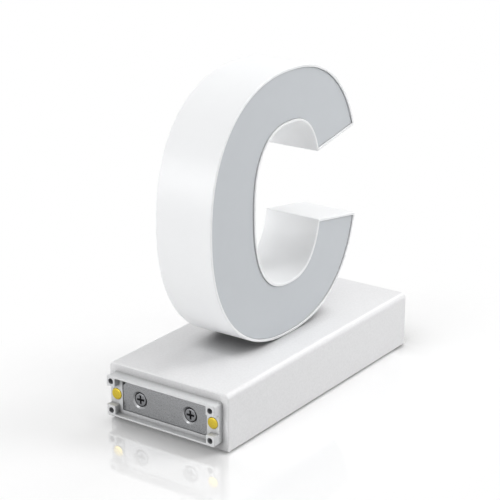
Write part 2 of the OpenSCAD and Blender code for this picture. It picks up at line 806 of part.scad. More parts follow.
module socket_magnets() {
    color("silver") for (s = [-1, 1])
        translate([socket_end_x - island_depth - magnet_size[0], s * magnet_pitch / 2 - magnet_size[1] / 2,
                   plug_z - magnet_size[2] / 2]) cube(magnet_size);
}

// Four guide pins that enter the neighbour's guide holes
module socket_pins() {
    l = pin_bury + socket_depth - pin_short;
    color("silver") for (s = [-1, 1], t = [-1, 1])
        translate([tray_floor_x - pin_bury, s * (plug_w / 2 - guide_inset_y),
                   plug_z + t * (plug_h / 2 - guide_inset_z)]) rotate([0, 90, 0]) rotate_extrude()
            polygon([[0, 0], [pin_d / 2, 0], [pin_d / 2, l - pin_tip_r], [pin_d / 2 - pin_tip_r, l], [0, l]]);
}

module stud(s) {
    color("gold") {
        rod_x(tray_floor_x, s * contact_y, plug_z, socket_depth - stud_depth, stud_d);
        rod_x(tray_back_x - stud_tail_l, s * contact_y, plug_z, tray_t + stud_tail_l, stud_shank_d);
    }
}

module front_stud() { stud(-1); }
module rear_stud() { stud(1); }

// Driver board on its posts, and its parts
module driver_board() {
    color("darkgreen") difference() {
        translate([-board_l / 2, -board_w / 2, board_z]) cube([board_l, board_w, board_t]);
        for (sx = [-1, 1], sy = [-1, 1]) translate(board_post_place(sx, sy, board_z - over))
            cylinder(h = board_t + 2 * over, d = board_screw_d + 2 * loose_gap);
    }
}

module board_screws() {
    color("silver") for (sx = [-1, 1], sy = [-1, 1]) translate(board_post_place(sx, sy, board_top))
        pan_screw(board_screw_d, board_t + board_z - plate_top, board_screw_head_d, board_screw_head_h);
}

module inductor() {
    color("black") translate([-part_x, part_y, board_top]) {
        cylinder(h = choke_h, d = choke_core_d);
        for (z = [0, choke_h - choke_flange]) translate([0, 0, z]) cylinder(h = choke_flange, d = choke_d);
    }
}

module capacitors() {
    color("steelblue") for (s = [-1, 1]) translate([part_x, s * part_y, board_top])
        rotate_extrude() polygon([
            [0, 0], [cap_d / 2, 0], [cap_d / 2, cap_groove], [cap_d / 2 - cap_groove, 2 * cap_groove],
            [cap_d / 2, 3 * cap_groove], [cap_d / 2, cap_h - cap_groove], [cap_d / 2 - cap_groove, cap_h],
            [0, cap_h],
        ]);
}

module regulator() {
    color("black") translate([-part_x, -part_y, board_top]) {
        translate([-regulator_size[0] / 2, -regulator_size[1] / 2, 0]) cube(regulator_size);
        for (s = [-1, 1], k = [0 : regulator_pins - 1])
            translate([(k - (regulator_pins - 1) / 2) * regulator_size[0] / regulator_pins,
                       s * (regulator_size[1] + regulator_pin[1]) / 2, regulator_pin[2] / 2])
                cube(regulator_pin, center = true);
    }
}

// Where the connectors stand, and how each is turned
connector_x = board_l / 2 - connector_inset;

module connector() {
    difference() {
        translate([-connector_size[0] / 2, -connector_size[1] / 2, 0]) cube(connector_size);
        for (s = [-1, 1]) translate([-connector_size[0] / 2, s * connector_pole / 2, connector_size[2]])
            cube(connector_slot, center = true);
    }
}

module lead_connectors() {
    color("ivory") {
        translate([-connector_x, 0, board_top]) connector();
        translate([connector_x, 0, board_top]) rotate([0, 0, 180]) connector();
        translate([letter_connector_x, 0, board_top]) connector();
    }
}

// Leads from the plug's terminals and from the socket's studs to the board's end connectors
module plug_lead(s) {
    start = [terminal_back_x + tail_l, s * contact_y, plug_z - sleeve_d / 2 + tail_t / 2];
    end = [-connector_x - connector_size[0] / 2, s * connector_pole / 2, board_top + connector_size[2] / 2];
    lead(bezier(start, start + [3 * lead_d, 0, 0], end - [8 * lead_d, 0, 0], end), [0, 0, 1], [1, 0, 0],
         [1, 0, 0]);
}

module socket_lead(s) {
    start = [tray_back_x - stud_tail_l, s * contact_y, plug_z];
    end = [connector_x + connector_size[0] / 2, s * connector_pole / 2, board_top + connector_size[2] / 2];
    lead(bezier(start, start - [3 * lead_d, 0, 0], end + [8 * lead_d, 0, 0], end), [0, 0, 1], [-1, 0, 0],
         [-1, 0, 0]);
}

module plug_lead_positive() { color("firebrick") plug_lead(1); }
module plug_lead_negative() { color("black") plug_lead(-1); }
module socket_lead_positive() { color("firebrick") socket_lead(1); }
module socket_lead_negative() { color("black") socket_lead(-1); }

letter_return();
letter_face();
letter_back();
back_screws();
led_board();
led_board_screws();
leds();
led_resistors();
anchor_block();
anchor_screws();
lead_bush();
letter_lead_positive();
letter_lead_negative();
base_housing();
base_plate();
base_plate_screws();
base_pad();
plug_frame();
catch_plate();
catch_plate_screws();
catch_plate_nuts();
front_contact();
front_contact_clip();
front_contact_spring();
front_contact_terminal();
rear_contact();
rear_contact_clip();
rear_contact_spring();
rear_contact_terminal();
socket_frame();
socket_magnets();
socket_pins();
front_stud();
rear_stud();
driver_board();
board_screws();
inductor();
capacitors();
regulator();
lead_connectors();
plug_lead_positive();
plug_lead_negative();
socket_lead_positive();
socket_lead_negative();
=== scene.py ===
import json
import math

import bmesh
import bpy
import numpy as np
from mathutils import Matrix, Vector

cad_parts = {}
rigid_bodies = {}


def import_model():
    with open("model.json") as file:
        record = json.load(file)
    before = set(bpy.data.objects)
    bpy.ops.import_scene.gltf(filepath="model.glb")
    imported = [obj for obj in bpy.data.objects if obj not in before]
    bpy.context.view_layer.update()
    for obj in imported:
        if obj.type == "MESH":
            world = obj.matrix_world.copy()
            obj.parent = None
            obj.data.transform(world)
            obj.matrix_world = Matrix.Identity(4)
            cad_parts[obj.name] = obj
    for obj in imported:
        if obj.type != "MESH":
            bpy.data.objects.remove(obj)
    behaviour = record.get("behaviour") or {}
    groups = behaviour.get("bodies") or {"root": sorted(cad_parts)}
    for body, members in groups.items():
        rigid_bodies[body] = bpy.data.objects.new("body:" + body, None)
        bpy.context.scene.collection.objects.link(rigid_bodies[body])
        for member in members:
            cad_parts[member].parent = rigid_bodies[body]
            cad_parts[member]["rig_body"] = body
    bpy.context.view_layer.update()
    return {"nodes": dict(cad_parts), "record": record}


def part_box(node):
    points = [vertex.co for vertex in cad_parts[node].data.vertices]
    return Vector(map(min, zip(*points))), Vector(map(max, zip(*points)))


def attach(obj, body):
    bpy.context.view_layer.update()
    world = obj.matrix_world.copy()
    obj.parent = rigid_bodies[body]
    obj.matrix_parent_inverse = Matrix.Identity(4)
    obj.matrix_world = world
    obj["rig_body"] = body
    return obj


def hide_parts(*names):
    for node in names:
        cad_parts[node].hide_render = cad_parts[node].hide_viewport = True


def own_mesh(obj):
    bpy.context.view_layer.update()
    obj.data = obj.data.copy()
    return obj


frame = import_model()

MM = 0.001
scene = bpy.context.scene
scene.view_settings.view_transform = "Standard"
nodes = frame["nodes"]
slot_of = {s["node"]: s["material_slot"] for s in frame["record"]["subparts"]}

# ---------------------------------------------------------------- camera
# At the photograph's place, from a fit to the picture's edges
IMAGE_PX = 500
SENSOR_MM = 36.0
FOCAL_PX = 1641.67
AZIMUTH, ELEVATION = math.radians(-54.8267), math.radians(19.2783)
CAMERA_AT = (-0.469231, -0.323614, 0.250984)
toward = Vector((math.sin(AZIMUTH) * math.cos(ELEVATION), -math.cos(AZIMUTH) * math.cos(ELEVATION),
                 math.sin(ELEVATION)))
cam = bpy.data.cameras.new("camera")
cam.sensor_width = SENSOR_MM
cam.lens = FOCAL_PX * SENSOR_MM / IMAGE_PX
cam.clip_start, cam.clip_end = 0.01, 50.0
camera = bpy.data.objects.new("camera", cam)
camera.location = CAMERA_AT
right = Vector((math.cos(AZIMUTH), math.sin(AZIMUTH), 0))
camera.rotation_euler = Matrix((right, toward.cross(right), toward)).transposed().to_euler()
scene.collection.objects.link(camera)
scene.camera = camera


# ---------------------------------------------------------------- materials
def linear(v):
    """An sRGB level from 0 to 255 as linear light."""
    v = v / 255
    return v / 12.92 if v <= 0.04045 else ((v + 0.055) / 1.055) ** 2.4


# slot: colour (sRGB), roughness, metallic, then the detail: tone change, its size in mm,
# roughness change, grain depth in mm, grain size in mm, stretch of both along Y, coat.
# The dark slots for the insides of holes, of screw seats and of cross recesses paint shade there as a dark colour
FINISH = {
    "letter_white": ((246, 247, 248), 0.34, 0.0, 0.012, 9.0, 0.05, 0.004, 0.35, 1, 0.0),
    "letter_face": ((201, 205, 209), 0.46, 0.0, 0.015, 6.0, 0.06, 0.006, 0.22, 1, 0.0),
    "base_white": ((233, 233, 234), 0.36, 0.0, 0.09, 0.75, 0.08, 0.030, 0.36, 1, 0.0),
    "frame_plastic": ((217, 218, 219), 0.42, 0.0, 0.06, 0.8, 0.10, 0.010, 0.20, 1, 0.0),
    "plate_steel": ((157, 158, 160), 0.27, 1.0, 0.10, 0.6, 0.08, 0.003, 0.12, 8, 0.0),
    "screw_steel": ((138, 139, 142), 0.26, 1.0, 0.08, 0.8, 0.14, 0.003, 0.15, 1, 0.0),
    "hole_painted_shade": ((150, 151, 153), 0.5, 0.0, 0.05, 1.0, 0.10, 0.006, 0.20, 1, 0.0),
    "recess_painted_shade": ((52, 52, 54), 0.55, 0.6, 0.10, 0.5, 0.10, 0.003, 0.10, 1, 0.0),
    "contact_gold": ((217, 192, 70), 0.30, 1.0, 0.05, 0.9, 0.12, 0.002, 0.12, 1, 0.0),
    "terminal_brass": ((205, 180, 120), 0.34, 1.0, 0.10, 0.8, 0.12, 0.002, 0.2, 1, 0.0),
    "spring_steel": ((160, 160, 163), 0.30, 1.0, 0.08, 0.5, 0.12, 0.001, 0.1, 1, 0.0),
    "pin_steel": ((200, 200, 203), 0.16, 1.0, 0.05, 0.6, 0.08, 0.001, 0.1, 1, 0.0),
    "magnet_nickel": ((190, 188, 182), 0.24, 1.0, 0.06, 1.2, 0.12, 0.002, 0.3, 1, 0.0),
    "board_white": ((236, 236, 230), 0.40, 0.0, 0.03, 3.0, 0.08, 0.004, 0.25, 1, 0.3),
    "board_green": ((26, 92, 56), 0.38, 0.0, 0.12, 2.5, 0.10, 0.006, 0.25, 1, 0.4),
    "led_lens": ((238, 214, 96), 0.28, 0.0, 0.06, 0.6, 0.06, 0.002, 0.1, 1, 0.3),
    "chip_black": ((40, 40, 43), 0.55, 0.0, 0.15, 0.8, 0.12, 0.006, 0.12, 1, 0.0),
    "can_aluminium": ((196, 197, 200), 0.28, 1.0, 0.06, 1.0, 0.10, 0.002, 0.15, 1, 0.0),
    "connector_ivory": ((233, 226, 203), 0.44, 0.0, 0.03, 1.5, 0.08, 0.006, 0.2, 1, 0.0),
    "lead_red": ((176, 30, 26), 0.42, 0.0, 0.08, 1.0, 0.10, 0.004, 0.25, 1, 0.0),
    "lead_black": ((34, 34, 35), 0.42, 0.0, 0.12, 1.0, 0.10, 0.004, 0.25, 1, 0.0),
    "pad_rubber": ((58, 58, 60), 0.82, 0.0, 0.12, 1.2, 0.08, 0.030, 0.5, 1, 0.0),
    "bush_rubber": ((44, 44, 45), 0.7, 0.0, 0.10, 0.8, 0.08, 0.010, 0.3, 1, 0.0),
}
# Painted shade: the colour is darkened, as ambient occlusion, where another surface is near.
# slot: how near another surface counts, in mm, the share of the colour that is left where it touches, and whether
# the long sides, which stand on the floor, stay unshaded
PAINTED_SHADE = {"base_white": (8.5, 0.38, True), "letter_white": (5.0, 0.6, False), "frame_plastic": (6.0, 0.3, False),
         "letter_face": (1.2, 0.6, False), "plate_steel": (0.8, 0.5, False), "screw_steel": (0.8, 0.5, False),
         "contact_gold": (0.8, 0.5, False)}
PAINTED_SHADE_RAYS = 8
# Openness at which the colour is darkest under the painted shade, and at which it has none
OPEN_FROM, OPEN_TO = 0.25, 0.88
# How far the normal leans to the side where a long side begins, and where it is all side
SIDE_FROM, SIDE_TO = 0.3, 0.8
NOISE_ROUGHNESS, TONE_DETAIL, GRAIN_DETAIL = 0.6, 3.0, 2.0
# The noise's usual low and high, which become the least and the most roughness
NOISE_LOW, NOISE_HIGH, LEAST_ROUGHNESS = 0.3, 0.7, 0.02


def node(tree, kind, *links, **values):
    """A new shader node, from (input, source socket or value) pairs and its settings and input values by name."""
    n = tree.nodes.new(kind)
    for key, value in values.items():
        if key in ("operation", "data_type", "samples"):
            setattr(n, key, value)
        else:
            n.inputs[key.replace("_", " ")].default_value = value
    for socket, source in links:
        if isinstance(source, bpy.types.NodeSocket):
            tree.links.new(source, n.inputs[socket])
        else:
            n.inputs[socket].default_value = source
    return n


def with_painted_shade(tree, colour, reach, left, unshaded_sides):
    """The colour made darker, as painted shade, where another surface is near."""
    near = node(tree, "ShaderNodeAmbientOcclusion", samples=PAINTED_SHADE_RAYS, Distance=reach * MM)
    kept = node(tree, "ShaderNodeMapRange", ("Value", near.outputs["AO"]), From_Min=OPEN_FROM, From_Max=OPEN_TO,
                To_Min=left, To_Max=1.0).outputs["Result"]
    if unshaded_sides:
        normal = node(tree, "ShaderNodeNewGeometry").outputs["Normal"]
        lean = node(tree, "ShaderNodeVectorMath", (0, normal), operation="ABSOLUTE")
        lean_y = node(tree, "ShaderNodeSeparateXYZ", (0, lean.outputs[0])).outputs["Y"]
        side = node(tree, "ShaderNodeMapRange", ("Value", lean_y), From_Min=SIDE_FROM, From_Max=SIDE_TO)
        kept = node(tree, "ShaderNodeMath", (0, kept), (1, side.outputs["Result"]), operation="MAXIMUM").outputs[0]
    return node(tree, "ShaderNodeVectorMath", (0, colour), ("Scale", kept), operation="SCALE").outputs[0]


def finish_material(slot):
    color, rough, metal, tone, tone_mm, rough_by, grain, grain_mm, stretch, coat = FINISH[slot]
    m = bpy.data.materials.new(slot)
    m.use_nodes = True
    tree = m.node_tree
    shader = tree.nodes["Principled BSDF"]
    shader.inputs["Metallic"].default_value = metal
    shader.inputs["Coat Weight"].default_value = coat
    place = node(tree, "ShaderNodeTexCoord").outputs["Object"]

    def noise(size_mm, detail):
        stretched = node(tree, "ShaderNodeMapping", ("Vector", place), Scale=(1, 1 / stretch, 1))
        return node(tree, "ShaderNodeTexNoise", ("Vector", stretched.outputs["Vector"]), Scale=1 / (size_mm * MM),
                    Detail=detail, Roughness=NOISE_ROUGHNESS).outputs["Fac"]

    broad, fine = noise(tone_mm, TONE_DETAIL), noise(grain_mm, GRAIN_DETAIL)
    base = [linear(v) for v in color]
    low, high = [c * (1 - tone) for c in base], [min(1, c * (1 + tone)) for c in base]
    colour = node(tree, "ShaderNodeMix", ("Factor", broad), data_type="RGBA", A=(*low, 1),
                  B=(*high, 1)).outputs["Result"]
    # painted shade where pieces meet and in creases
    if slot in PAINTED_SHADE:
        colour = with_painted_shade(tree, colour, *PAINTED_SHADE[slot])
    roughness = node(tree, "ShaderNodeMapRange", ("Value", fine), From_Min=NOISE_LOW, From_Max=NOISE_HIGH,
                     To_Min=max(LEAST_ROUGHNESS, rough - rough_by / 2), To_Max=rough + rough_by / 2)
    bump = node(tree, "ShaderNodeBump", ("Height", fine), Strength=1.0, Distance=grain * MM)
    tree.links.new(colour, shader.inputs["Base Color"])
    tree.links.new(roughness.outputs["Result"], shader.inputs["Roughness"])
    tree.links.new(bump.outputs["Normal"], shader.inputs["Normal"])
    return m


materials = {slot: finish_material(slot) for slot in FINISH}
for name, ob in nodes.items():
    ob.data.materials.clear()
    ob.data.materials.append(materials[slot_of[name]])


# ---------------------------------------------------------------- mesh helpers
# Meshes are made in mm and scaled when they become pieces
SHARP = math.radians(33)
TINY = 1e-9
CARVED_WELD = 1e-4
# Of a CAD mesh: how near points are welded, how flat a bend is dropped, and how sharp an edge is rounded
CAD_WELD, CAD_FLAT, CAD_EDGE = 2e-3, math.radians(0.7), math.radians(35)
ALONG_X = Matrix(((0, 0, 1, 0), (1, 0, 0, 0), (0, 1, 0, 0), (0, 0, 0, 1)))


def add_piece(name, bm, cad_node, painted_shade_slot=None):
    """A finished mesh as an object that rides on the body of the CAD node that it stands for.

    Its faces with material_index 1 take the dark slot's material, which paints shade there.
    """
    bmesh.ops.scale(bm, vec=(MM, MM, MM), verts=bm.verts)
    bmesh.ops.recalc_face_normals(bm, faces=bm.faces)
    mesh = bpy.data.meshes.new(name)
    bm.to_mesh(mesh)
    bm.free()
    mesh.shade_smooth()
    mesh.set_sharp_from_angle(angle=SHARP)
    mesh.materials.append(materials[slot_of[cad_node]])
    if painted_shade_slot:
        mesh.materials.append(materials[painted_shade_slot])
    ob = bpy.data.objects.new(name, mesh)
    scene.collection.objects.link(ob)
    weigh = ob.modifiers.new("weigh", "WEIGHTED_NORMAL")
    weigh.keep_sharp = True
    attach(ob, nodes[cad_node]["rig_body"])
    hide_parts(cad_node)
    return ob


def rounded(points, radii, steps=4, closed=False):
    """A line in a plane with an arc of its own radius at each corner."""
    out = []
    last = len(points) - 1
    for i, (p, r) in enumerate(zip(points, radii)):
        if r == 0 or (not closed and i in (0, last)):
            out.append(tuple(p))
            continue
        p = Vector(p)
        a, b = Vector(points[i - 1]) - p, Vector(points[(i + 1) % len(points)]) - p
        a.normalize(), b.normalize()
        half = a.angle(b) / 2
        reach = r / math.tan(half)
        start, end = p + a * reach, p + b * reach
        centre = p + (a + b).normalized() * (r / math.sin(half))
        u, v = start - centre, end - centre
        turn = u.angle(v)
        for k in range(steps + 1):
            t = k / steps
            out.append(tuple(centre + (u * math.sin((1 - t) * turn) + v * math.sin(t * turn)) / math.sin(turn)))
    return out


def cap(bm, ring):
    if len(ring) > 2:
        bm.faces.new(ring).normal_update()


def skin(bm, rows, place=Matrix.Identity(4), closed=False):
    """Faces between rows of points. A row of one point is a tip; open ends are capped, or joined when closed."""
    made = [[bm.verts.new(place @ Vector(p)) for p in row] for row in rows]
    pairs = list(zip(made, made[1:]))
    if closed:
        pairs.append((made[-1], made[0]))
    else:
        cap(bm, made[0])
        cap(bm, made[-1])
    for a, b in pairs:
        n = max(len(a), len(b))
        for j in range(n):
            k = (j + 1) % n
            corners = [a[j % len(a)], a[k % len(a)], b[k % len(b)], b[j % len(b)]]
            bm.faces.new(list(dict.fromkeys(corners)))
    return made


def circle_angles(n):
    return [2 * math.pi * j / n for j in range(n)]


def lathe(bm, profile, place, n=56, closed=False):
    """A turned solid about place's Z from (radius, height) points."""
    rows = [[(0, 0, h)] if r < TINY else [(r * math.cos(a), r * math.sin(a), h) for a in circle_angles(n)]
            for r, h in profile]
    skin(bm, rows, place, closed)
    return bm


def grown(points, by):
    """A counter-clockwise outline moved out by a distance."""
    out = []
    for i, p in enumerate(points):
        p = Vector(p)
        a, b = (p - Vector(points[i - 1])).normalized(), (Vector(points[(i + 1) % len(points)]) - p).normalized()
        na, nb = Vector((a.y, -a.x)), Vector((b.y, -b.x))
        out.append((p + (na + nb) * (by / (1 + na.dot(nb))), a.cross(b)))
    return out


def prism(points, radii, profile, place=ALONG_X, steps=4):
    """A solid over an outline with round corners; profile is a list of (growth of the outline, height)."""
    rows = []
    for by, height in profile:
        moved = grown(points, by)
        sizes = [0 if r == 0 else max(0.02, r + (by if bend > 0 else -by)) for r, (_, bend) in zip(radii, moved)]
        rows.append([(*p, height) for p in rounded([tuple(p) for p, _ in moved], sizes, steps, closed=True)])
    bm = bmesh.new()
    skin(bm, rows, place)
    return bm


def nosed(start, end, r_start, r_end, steps=4):
    """Profile of a solid whose ends have rounded rims."""
    line = [(-1e3, start), (0, start), (0, end), (-1e3, end)]
    return rounded(line, [0, r_start, r_end, 0], steps)[1:-1]


def flared(start, end, r, steps=3):
    """Profile of a cutter that rounds the rim where it goes in, and goes on from there to its end."""
    out = -1 if end > start else 1
    return [(r, start + out)] + rounded([(1e3, start), (0, start), (0, end)], [0, r, 0], steps)[1:]


def oblong(half_w, low, high):
    return [(-half_w, low), (half_w, low), (half_w, high), (-half_w, high)]


def box(x0, x1, y0, y1, z0, z1):
    return prism([(y0, z0), (y1, z0), (y1, z1), (y0, z1)], [0] * 4, [(0, x0), (0, x1)])


def rod(radius, profile, place, n=48):
    """A turned cutter from a profile of (growth, height)."""
    return lathe(bmesh.new(), [(radius + by, h) for by, h in profile], place, n)


def temporary(bm):
    bmesh.ops.recalc_face_normals(bm, faces=bm.faces)
    mesh = bpy.data.meshes.new("temporary")
    bm.to_mesh(mesh)
    bm.free()
    ob = bpy.data.objects.new("temporary", mesh)
    scene.collection.objects.link(ob)
    return ob


def baked(ob, tools=()):
    """The object's mesh after its modifiers; the object and its tools are dropped."""
    mesh = bpy.data.meshes.new_from_object(ob.evaluated_get(bpy.context.evaluated_depsgraph_get()))
    for o in (ob, *tools):
        bpy.data.objects.remove(o)
    bm = bmesh.new()
    bm.from_mesh(mesh)
    bpy.data.meshes.remove(mesh)
    return bm


def carved(bm, cuts, added=()):
    """The solid with others joined to it, and the cutters then taken out."""
    ob = temporary(bm)
    tools = []
    for operation, others in (("UNION", added), ("DIFFERENCE", cuts)):
        for other in others:
            tools.append(temporary(other))
            m = ob.modifiers.new("carve", "BOOLEAN")
            m.operation, m.solver, m.object = operation, "EXACT", tools[-1]
    done = baked(ob, tools)
    bmesh.ops.remove_doubles(done, verts=done.verts, dist=CARVED_WELD)
    return done


def paint_shade_on(bm, chosen):
    """Gives the faces whose middle is chosen the piece's dark material, as painted shade."""
    for f in bm.faces:
        if chosen(f.calc_center_median()):
            f.material_index = 1


def at(x, y, z, axis="Z"):
    """A place in mm whose Z looks along the named axis."""
    turn = {"Z": (0, 0, 0), "-Z": (math.pi, 0, 0), "X": (0, math.pi / 2, 0), "-X": (0, -math.pi / 2, 0),
            "Y": (-math.pi / 2, 0, 0)}[axis]
    return Matrix.Translation((x, y, z)) @ Matrix.Rotation(turn[1], 4, "Y") @ Matrix.Rotation(turn[0], 4, "X")


def cad_copy(cad_node):
    """The CAD solid's mesh in mm."""
    bm = bmesh.new()
    bm.from_mesh(nodes[cad_node].data)
    bmesh.ops.scale(bm, vec=(1 / MM, 1 / MM, 1 / MM), verts=bm.verts)
    return bm


def rounded_copy(name, cad_node, radius_at, segments=3):
    """The CAD solid with its edges rounded. radius_at(middle, edge) gives the radius of each sharp edge."""
    bm = cad_copy(cad_node)
    bmesh.ops.remove_doubles(bm, verts=bm.verts, dist=CAD_WELD)
    bmesh.ops.dissolve_limit(bm, angle_limit=CAD_FLAT, verts=bm.verts, edges=bm.edges)
    weight = bm.edges.layers.float.new("bevel_weight_edge")
    chosen = {}
    for e in bm.edges:
        if len(e.link_faces) == 2 and e.calc_face_angle(0) > CAD_EDGE:
            r = radius_at((e.verts[0].co + e.verts[1].co) / 2, e)
            if r > 0:
                chosen[e] = r
    most = max(chosen.values())
    for e, r in chosen.items():
        e[weight] = r / most
    ob = temporary(bm)
    bevel = ob.modifiers.new("round", "BEVEL")
    bevel.limit_method, bevel.width, bevel.segments, bevel.use_clamp_overlap = "WEIGHT", most, segments, False
    return add_piece(name, baked(ob), cad_node)


# ---------------------------------------------------------------- letter
LETTER_X, LETTER_Z = -1.7, 71.9
FRONT, REAR = -11.75, 11.75
RIM_T, RECESS, FACE_T, LEDGE = 1.0, 0.5, 2.0, 1.2
HALF_H = 50.0
MOUTH = {"up": (12.1, 10.7), "down": (-7.9, -8.8)}


def bow(t, left, right_up, right_low, up, down, left_n, right_n):
    c, s = np.cos(t), np.sin(t)
    a = np.where(c < 0, left, np.where(s < 0, right_low, right_up))
    b = np.where(s < 0, down, up)
    n = np.where(c < 0, left_n, right_n)
    return np.stack([a * np.sign(c) * np.abs(c) ** (2 / n), b * np.sign(s) * np.abs(s) ** (2 / n)], -1)


def curve(points, outward):
    """Points and their normals into the stroke."""
    tangent = np.gradient(points, axis=0)
    tangent /= np.linalg.norm(tangent, axis=1)[:, None]
    normal = np.stack([-tangent[:, 1], tangent[:, 0]], -1)
    return points, normal * (-1 if outward else 1)


T = np.radians(np.arange(1, 359.001, 0.05))
OUTER_SIZE = (48.0, 45.4, 46.0, HALF_H, HALF_H, 2.25, 2.34)
COUNTER_SIZE = (21.9, 18.4, 19.4, 27.5, 31.7, 2.5, 2.5)
COUNTER_PLACE = np.array([0.6, 2.4])
OUTER = curve(bow(T, *OUTER_SIZE), False)
COUNTER = curve(bow(T, *COUNTER_SIZE) + COUNTER_PLACE, True)
CORNER_R, CORNER_LEFT = 0.45, 0.15
OUTER_STEPS, COUNTER_STEPS, CUT_STEPS, ARC_STEPS = 190, 120, 8, 4


def corner(line, side, inset, r):
    """Where the curve and the cut, both drawn in by inset, meet in an arc of radius r: place on the curve, centre."""
    points, normals = side
    z, slope = MOUTH[line]
    slope = math.radians(slope)
    into = np.array([-math.sin(slope), math.cos(slope)]) * (1 if line == "up" else -1)
    near = slice(0, len(points) // 4) if line == "up" else slice(3 * len(points) // 4, len(points))
    drawn = points[near] + (inset + r) * normals[near]
    miss = (drawn - np.array([0, z])) @ into - (inset + r)
    k = np.nonzero(np.diff(np.sign(miss)))[0][0]
    t = miss[k] / (miss[k] - miss[k + 1])
    return near.start + k + t, drawn[k] * (1 - t) + drawn[k + 1] * t, into


def along(side, start, end, inset, steps):
    points, normals = side
    index = np.arange(len(points))
    length = np.concatenate([[0], np.cumsum(np.linalg.norm(np.diff(points, axis=0), axis=1))])
    a, b = np.interp([start, end], index, length)
    where = np.interp(np.linspace(a, b, steps + 1), length, index)
    drawn = points + inset * normals
    return [np.array([np.interp(w, index, drawn[:, k]) for k in (0, 1)]) for w in where]


def arc(centre, start, end):
    u, v = start - centre, end - centre
    turn = math.acos(max(-1, min(1, float(u @ v) / float(np.linalg.norm(u) * np.linalg.norm(v)))))
    return [centre + (u * math.sin((1 - t) * turn) + v * math.sin(t * turn)) / math.sin(turn)
            for t in (k / ARC_STEPS for k in range(1, ARC_STEPS))]


def outline(inset):
    """The letter's edge drawn in by inset, in mm from the letter's middle, always with the same count of points."""
    r = max(CORNER_LEFT, CORNER_R - inset * (CORNER_R - CORNER_LEFT) / RIM_T)
    found = {(line, name): corner(line, side, inset, r)
             for line in MOUTH for name, side in (("outer", OUTER), ("counter", COUNTER))}
    outer = along(OUTER, found["up", "outer"][0], found["down", "outer"][0], inset, OUTER_STEPS)
    counter = along(COUNTER, found["down", "counter"][0], found["up", "counter"][0], inset, COUNTER_STEPS)
    foot = {key: centre - into * r for key, (_, centre, into) in found.items()}

    def cut(a, b):
        return [a + (b - a) * k / CUT_STEPS for k in range(CUT_STEPS + 1)]

    low, high = cut(foot["down", "outer"], foot["down", "counter"]), cut(foot["up", "counter"], foot["up", "outer"])
    ring = outer + arc(found["down", "outer"][1], outer[-1], low[0]) + low
    ring += arc(found["down", "counter"][1], low[-1], counter[0]) + counter
    ring += arc(found["up", "counter"][1], counter[-1], high[0]) + high
    return ring + arc(found["up", "outer"][1], high[-1], outer[0])


def letter_rows(profile):
    rings = {}
    rows = []
    for inset, y in profile:
        key = round(inset, 4)
        if key not in rings:
            rings[key] = outline(key)
        rows.append([(LETTER_X + p[0], y, LETTER_Z + p[1]) for p in rings[key]])
    return rows


LEDGE_Y = FRONT + RECESS + FACE_T
bm = bmesh.new()
skin(bm, letter_rows(rounded(
    [(0, REAR), (0, FRONT), (RIM_T, FRONT), (RIM_T, LEDGE_Y), (RIM_T + LEDGE, LEDGE_Y),
     (RIM_T + LEDGE, LEDGE_Y + LEDGE), (RIM_T, LEDGE_Y + LEDGE), (RIM_T, REAR)],
    [0.3, 0.28, 0.2, 0, 0.1, 0.1, 0, 0.2], closed=True)), closed=True)
POST_D, POST_BORE, POST_BITE, POST_END = 5.6, 2.05, 0.4, 9.55
POST_ANGLES = (50, 112, 180, 236, 304)
back_screw_places = []
for angle in POST_ANGLES:
    outer_at, hole_at = (bow(np.radians([angle]), *size)[0] for size in (OUTER_SIZE, COUNTER_SIZE))
    hole_at = hole_at + COUNTER_PLACE
    place = outer_at + (hole_at - outer_at) / np.linalg.norm(hole_at - outer_at) * (RIM_T + POST_D / 2 - POST_BITE)
    back_screw_places.append((LETTER_X + place[0], LETTER_Z + place[1]))
    lathe(bm, rounded([(POST_BORE / 2, 0), (POST_D / 2, 0), (POST_D / 2, POST_END - LEDGE_Y),
                       (POST_BORE / 2, POST_END - LEDGE_Y)], [0, 0, 0.2, 0.1], closed=True),
          at(back_screw_places[-1][0], LEDGE_Y, back_screw_places[-1][1], "Y"), 32, closed=True)
add_piece("letter_side_wall", bm, "letter_return")

FACE_INSET, FACE_R = RIM_T + 0.05, 0.12
bm = bmesh.new()
skin(bm, letter_rows([(FACE_INSET + by, y) for by, y in
                      [(-a, b) for a, b in nosed(FRONT + RECESS, LEDGE_Y, FACE_R, FACE_R)]]))
add_piece("letter_diffuser", bm, "letter_face")


# ---------------------------------------------------------------- screws
ARM_STEPS, SIDE_STEPS = 3, 5
# A cross recess: its worn rim's width and depth in mm, what is left of the arms' half width and reach low down and of
# the half width at the pit, and how deep the low row, the pit and its tip lie, as shares of the recess's depth
RECESS_RIM, RECESS_RIM_DEPTH = 0.06, 0.08
LOW_HALF_W, LOW_REACH, PIT = 0.8, 0.72, 0.25
LOW_AT, PIT_AT, TIP_AT = 0.75, 1.1, 1.15
# Where a head's crown ends, as a share of the head's diameter
CROWN = 0.36


def cross_angles(a, b):
    """Angles round a cross recess with arms of half width a and reach b, with its corners among them."""
    corner_at = math.atan2(a, b)
    eighth = [corner_at * k / ARM_STEPS for k in range(ARM_STEPS + 1)]
    eighth += [corner_at + (math.pi / 4 - corner_at) * k / SIDE_STEPS for k in range(1, SIDE_STEPS + 1)]
    quarter = eighth + [math.pi / 2 - t for t in reversed(eighth[1:-1])]
    return [q * math.pi / 2 + t for q in range(4) for t in quarter]


def cross_row(angles, a, b, height):
    row = []
    for t in angles:
        local = abs((t + math.pi / 4) % (math.pi / 2) - math.pi / 4)
        r = b / math.cos(local) if local <= math.atan2(a, b) + TINY else a / math.sin(local)
        row.append((r * math.cos(t), r * math.sin(t), height))
    return row


